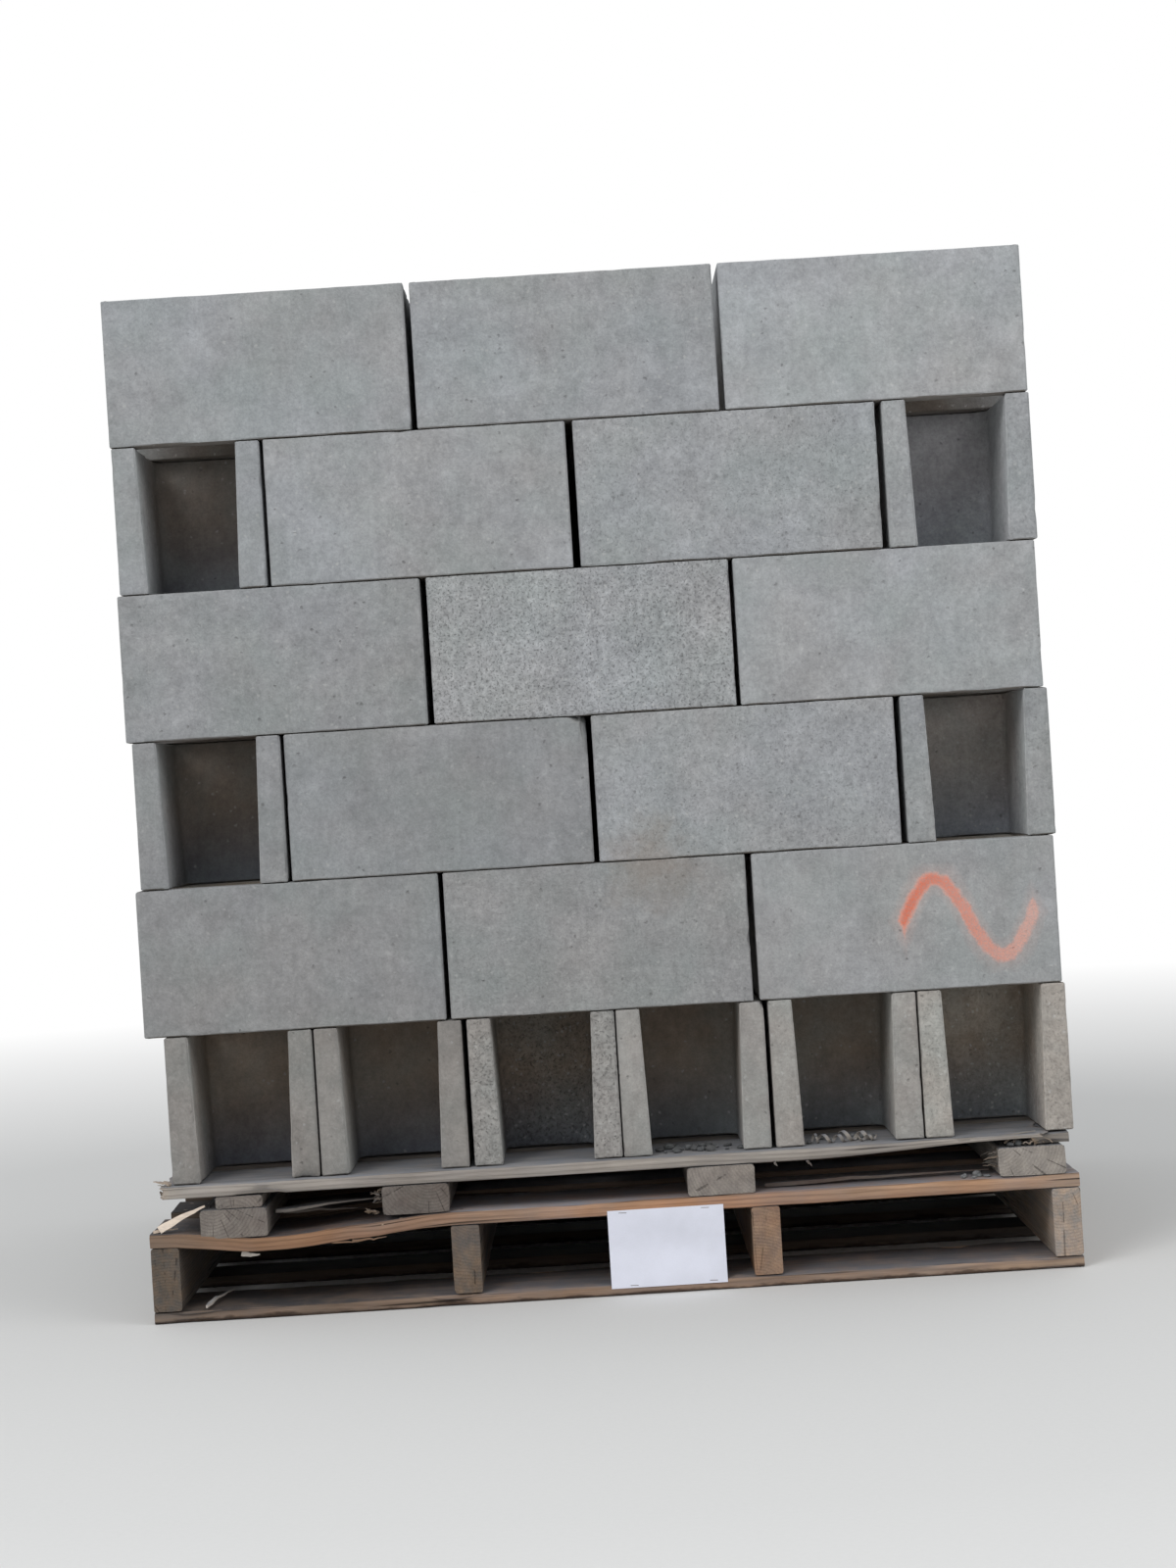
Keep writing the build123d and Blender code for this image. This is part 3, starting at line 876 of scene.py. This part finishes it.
splinters("grey_splinters", grey_wood, 21, [
    ((-0.446, -0.472, 0.1345), (-0.303, -0.47, 0.1435), 0.034, 0.004, 0.001, 0.72, 0.2, 0.0),
    ((-0.45, -0.44, 0.129), (-0.33, -0.446, 0.1275), 0.022, 0.004, 0.001, 0.6, 0.5, 0.0),
    ((-0.578, -0.497, 0.1805), (-0.601, -0.499, 0.186), 0.011, 0.003, 0.001, 1.1, 0.0, 0.4),
    ((0.2, -0.47, 0.1275), (0.497, -0.462, 0.129), 0.012, 0.005, 0.002, 0.75, 0.9, 0.0),
    ((0.44, -0.5035, 0.1765), (0.556, -0.502, 0.1815), 0.011, 0.004, -0.002, 1.05, 0.1, 0.0),
    ((0.255, -0.505, 0.162), (0.262, -0.506, 0.153), 0.004, 0.003, 0.0, 0.6, 0.8, 0.0),
    ((0.212, -0.505, 0.162), (0.216, -0.506, 0.157), 0.004, 0.003, 0.0, 0.8, 0.2, 0.0),
    # the next four slivers get high tones, a painted highlight of sunlight on them
    ((-0.491, -0.502, 0.086), (-0.467, -0.503, 0.0835), 0.003, 0.007, -0.001, 1.45, 0.0, 0.0),
    ((-0.541, -0.502, 0.019), (-0.519, -0.388, 0.0195), 0.0055, 0.0035, 0.003, 2.3, 0.0, 0.0),
    ((-0.597, -0.5, 0.1222), (-0.536, -0.497, 0.15), 0.009, 0.01, 0.001, 2.4, 0.0, 0.2),
    ((-0.605, -0.499, 0.12), (-0.575, -0.482, 0.12), 0.006, 0.004, 0.001, 1.9, 0.1, 0.3),
], [
    ((-0.304, -0.494, 0.144), (0.004, 0.01, 0.014), (-0.8, -0.1, -0.1), 0.014, 9, 0.6),
    ((0.507, -0.492, 0.147), (0.005, 0.012, 0.014), (-0.8, -0.1, -0.2), 0.018, 12, 0.5),
    ((0.532, -0.494, 0.165), (0.016, 0.008, 0.001), (0.7, 0.0, 0.12), 0.024, 10, 0.95),
    ((0.57, -0.494, 0.164), (0.016, 0.008, 0.001), (-0.7, -0.1, 0.15), 0.022, 6, 0.95),
    ((-0.588, -0.48, 0.172), (0.004, 0.022, 0.004), (-0.9, 0.0, 0.05), 0.01, 5, 0.75),
])
splinters("pale_splinters", sound_wood, 22, [
    ((-0.345, -0.505, 0.0945), (-0.3, -0.505, 0.0965), 0.005, 0.003, -0.001, 0.8, 0.8, 0.1),
    ((-0.372, -0.504, 0.093), (-0.328, -0.505, 0.0935), 0.0045, 0.0025, -0.001, 0.7, 0.8, 0.0),
], [
    ((-0.296, -0.504, 0.113), (0.012, 0.002, 0.004), (0.9, 0.0, 0.0), 0.022, 5, 1.15),
    ((-0.315, -0.495, 0.127), (0.008, 0.01, 0.001), (-0.7, -0.2, 0.2), 0.02, 6, 0.75),
])


def shavings():
    """Pale curls of planed wood in the fifth cell of the bottom layer."""
    parts = MeshParts(*WOOD_VALUES)
    random = np.random.default_rng(31)
    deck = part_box("crushed_board_1")[1].z
    steps, thick = 56, 0.0006
    curls = [  # start x, end x, y, radius, turns, width
        (0.272, 0.316, -0.478, 0.0062, 2.2, 0.0042),
        (0.302, 0.344, -0.47, 0.007, 1.7, 0.005),
        (0.262, 0.276, -0.474, 0.008, 1.2, 0.003),
        (0.326, 0.352, -0.48, 0.005, 1.6, 0.0036),
    ]
    for x0, x1, y, radius, turns, wide in curls:
        t = np.linspace(0, 1, steps)
        turn = 2 * math.pi * turns * t + random.uniform(0, 6)
        r = radius * (1 - 0.25 * np.sin(3.1 * t))
        path = np.c_[x0 + (x1 - x0) * t + 0.0012 * np.sin(5 * t), y + r * np.cos(turn),
                     deck + r + r * np.sin(turn) + thick]
        widths = wide * np.clip(6 * t * (1 - t) + 0.3, 0, 1)
        points, faces = tube(path, widths, np.full(steps, thick), (1.0, 0.15, 0.2))
        own = np.c_[np.repeat(t * 0.2, 4), points[:, 1], points[:, 2]] + x0 * 30
        parts.add(points, faces, grain=own, rings=own * 0, tone=1.12, warm=0.05)
    parts.build("curled_shavings", *grey_wood, 60)


def rubble():
    """Crumbs of concrete on the deck, most of them in the fourth cell of the bottom layer."""
    parts = MeshParts(*BLOCK_VALUES)
    random = np.random.default_rng(17)
    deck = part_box("crushed_board_1")[1].z
    ball = bmesh.new()
    bmesh.ops.create_icosphere(ball, subdivisions=2, radius=1.0)
    shape = np.array([v.co for v in ball.verts])
    faces = [tuple(v.index for v in f.verts) for f in ball.faces]
    ball.free()
    sound_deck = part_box("top_board_1")[1].z
    fields = [  # low x, high x, low y, high y, what it lies on, count, smallest and largest size, tone
        (0.06, 0.172, -0.48, -0.425, deck, 26, 0.003, 0.008, 0.34),
        (0.26, 0.372, -0.48, -0.425, deck, 9, 0.003, 0.006, 0.42),
        (0.52, 0.556, -0.5, -0.48, REMNANT_LOW, 5, 0.004, 0.007, 0.45),
        (0.458, 0.494, -0.5, -0.478, sound_deck, 9, 0.003, 0.006, 0.62),
    ]
    for x0, x1, y0, y1, low, count, small, large, tone in fields:
        for _ in range(count):
            size = random.uniform((small, 0.6, 0.4), (large, 1.0, 0.75))
            size[1:] *= size[0]
            turn = random.uniform(0, math.pi)
            lump = shape * (0.75 + 0.5 * value_noise(shape + random.uniform(0, 50), 0.9, 5))[:, None] * size
            cos, sin = math.cos(turn), math.sin(turn)
            lump[:, :2] = lump[:, :2] @ ((cos, sin), (-sin, cos))
            lump[:, 2] = np.maximum(lump[:, 2], -0.6 * size[2])
            lump += (random.uniform(x0, x1), random.uniform(y0, y1), low - lump[:, 2].min())
            parts.add(lump, faces, tone=tone * random.uniform(0.8, 1.2), coarse=0.5,
                      shift=random.uniform(0, 40), wear=0.4)
    parts.build("concrete_crumbs", concrete_finish, "concrete", 40)


def add_head(parts, centre, random):
    """A nail head, a low dome a little out of level."""
    lean, radius, sides = random.uniform(-0.12, 0.12, 2), 0.0036, 10
    turns = np.arange(sides) / sides * 2 * math.pi
    rings = []
    for share, height in ((1.0, -0.0012), (1.0, 0.0002), (0.8, 0.0007), (0.4, 0.0009)):
        flat = radius * share * np.c_[np.cos(turns), np.sin(turns)]
        rings.append(np.c_[flat, height + flat @ lean] + centre)
    caps = [range(3 * sides, 4 * sides), range(sides - 1, -1, -1)]
    parts.add(np.concatenate(rings), bands(sides, len(rings)) + caps)


def fasteners():
    """Nail heads in the sound deck over each stringer, and the card's staples."""
    random = np.random.default_rng(8)
    nails = MeshParts()
    for row in range(1, 8):
        low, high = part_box(f"top_board_{row}")
        wide = high.y - low.y
        for column in range(1, 5):
            middle = sum(corner.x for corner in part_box(f"stringer_{column}")) / 2
            for share in (0.25, 0.75) if wide < 0.1 else (0.18, 0.5, 0.82):
                x = middle + random.uniform(-0.008, 0.008)
                y = low.y + wide * share + random.uniform(-0.006, 0.006)
                add_head(nails, (x, y, high.z + deck_sag(x, y, 1.0) - 0.0011), random)
    nails.build("nail_heads", rusty_steel, "pallet_wood", 30)
    staples = MeshParts()
    low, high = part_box("index_card")
    half, wire = 0.0055, 0.0006
    back, bend, crown = low.y + 0.006, low.y + 0.0008, low.y + 0.00035
    places = [(low.x + 0.02, high.z - 0.0035), (high.x - 0.024, high.z - 0.003),
              (low.x + 0.03, low.z + 0.003), (high.x - 0.018, low.z + 0.0035)]
    for x, z in places:
        path = [(x - half, back, z), (x - half, bend, z + 0.0001), (x - half + wire, crown, z + 0.0002),
                (x + half - wire, crown, z - 0.0002), (x + half, bend, z - 0.0001), (x + half, back, z)]
        points, faces = tube(path, np.full(6, wire), np.full(6, wire), (0.0, 0.0, 1.0))
        staples.add(points, faces)
    staples.build("card_staples", rusty_steel, "pallet_wood", 40)


shavings()
rubble()
fasteners()

# the card

def card():
    """The card, a thin sheet that bows off the pallet between its stapled edges."""
    low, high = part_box("index_card")
    wide, tall = high.x - low.x, high.z - low.z
    nx, nz, thick = 30, 20, 0.00018
    grid = np.meshgrid(np.linspace(0, 1, nx + 1), np.linspace(0, 1, nz + 1), indexing="ij")
    x, z = (g.ravel() for g in grid)
    bow = 0.0003 + 0.0035 * np.sin(np.pi * z) ** 2 * (0.6 + 0.5 * np.sin(3.2 * x + 0.4))
    sheets = [np.c_[low.x + wide * x, low.y + bow + depth, low.z + tall * z]
              for depth in (0, thick)]
    count = len(x)
    grid = np.arange(count).reshape(nx + 1, nz + 1)
    front = sheet(grid.T)
    rim = [*grid[0], *grid[1:, -1], *grid[-1, -2::-1], *grid[-2:0:-1, 0]]
    faces = front + [[c + count for c in reversed(quad)] for quad in front]
    faces += [(a, b, b + count, a + count) for a, b in zip(rim, rim[1:] + rim[:1])]
    parts = MeshParts()
    parts.add(np.concatenate(sheets), faces)
    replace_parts(parts.build("card_sheet", paper, "white_card"), "index_card")


card()


# stage

def floor():
    """A pale disc, which fades to white far from the load where the camera sees it."""
    s = Shader("pale_floor", 0.95, 0.1, srgb(218, 218, 217))
    speck = s.noise(s.place, 160.0, 3, 0.7)
    s.vary(speck, 0.985, 1.01)
    material = s.finish(speck, 0.0005, 0.3)
    glow = s.node("Emission", {"Color": WHITE, "Strength": 1.0}).outputs[0]
    seen = s.node("LightPath").outputs["Is Camera Ray"]
    far = s.product(s.ramp(s.vector("LENGTH", s.place)["Value"], 1.6, 5.0), seen)
    mixed = s.node("MixShader", {0: far, 1: s.surface.outputs[0], 2: glow}).outputs[0]
    s.tree.links.new(mixed, s.tree.nodes["Material Output"].inputs["Surface"])
    radius, sides = 14, 96
    turns = np.linspace(0, 2 * math.pi, sides, endpoint=False)
    ring = [(radius * math.cos(a), radius * math.sin(a), 0.0) for a in turns]
    mesh = bpy.data.meshes.new("floor")
    mesh.from_pydata(ring, [], [tuple(range(sides))])
    mesh.materials.append(material)
    piece = add_object("floor", mesh)


def world():
    """Even light from all round, and a white background for the camera."""
    sky = bpy.data.worlds.new("studio")
    sky.use_nodes = True
    tree = sky.node_tree
    light = add_node(tree, "Background", {"Color": (0.97, 0.985, 1, 1), "Strength": 0.72}).outputs[0]
    white = add_node(tree, "Background", {"Color": WHITE}).outputs[0]
    seen = add_node(tree, "LightPath").outputs["Is Camera Ray"]
    mixed = add_node(tree, "MixShader", {0: seen, 1: light, 2: white}).outputs[0]
    tree.links.new(mixed, tree.nodes["World Output"].inputs["Surface"])
    bpy.context.scene.world = sky


def lamp(name, place, power):
    light = bpy.data.lights.new(name, "AREA")
    light.shape, light.size, light.energy = "DISK", 3.0, power
    piece = add_object(name, light)
    piece.location = place
    piece.rotation_euler = (LAMPS_AIM - Vector(place)).to_track_quat("-Z", "Y").to_euler()


def camera():
    """It looks at the middle of the load and is rolled by the tilt."""
    low, high = cad_box
    ahead = ((low + high) / 2 - CAMERA).normalized()
    right = ahead.cross(Vector((0, 0, 1))).normalized()
    up = right.cross(ahead)
    tilted = up * math.cos(CAMERA_TILT) + right * math.sin(CAMERA_TILT)
    side = ahead.cross(tilted)
    data = bpy.data.cameras.new("camera")
    data.lens, data.sensor_width = LENS, SENSOR
    piece = add_object("camera", data)
    piece.matrix_world = Matrix.Translation(CAMERA) @ Matrix((side, tilted, -ahead)).transposed().to_4x4()
    bpy.context.scene.camera = piece


floor()
world()
lamp("key", (-2.6, -4.2, 4.6), 128.0)
lamp("fill", (3.4, -3.0, 3.6), 36.0)
camera()
bpy.context.scene.view_settings.view_transform = "Standard"
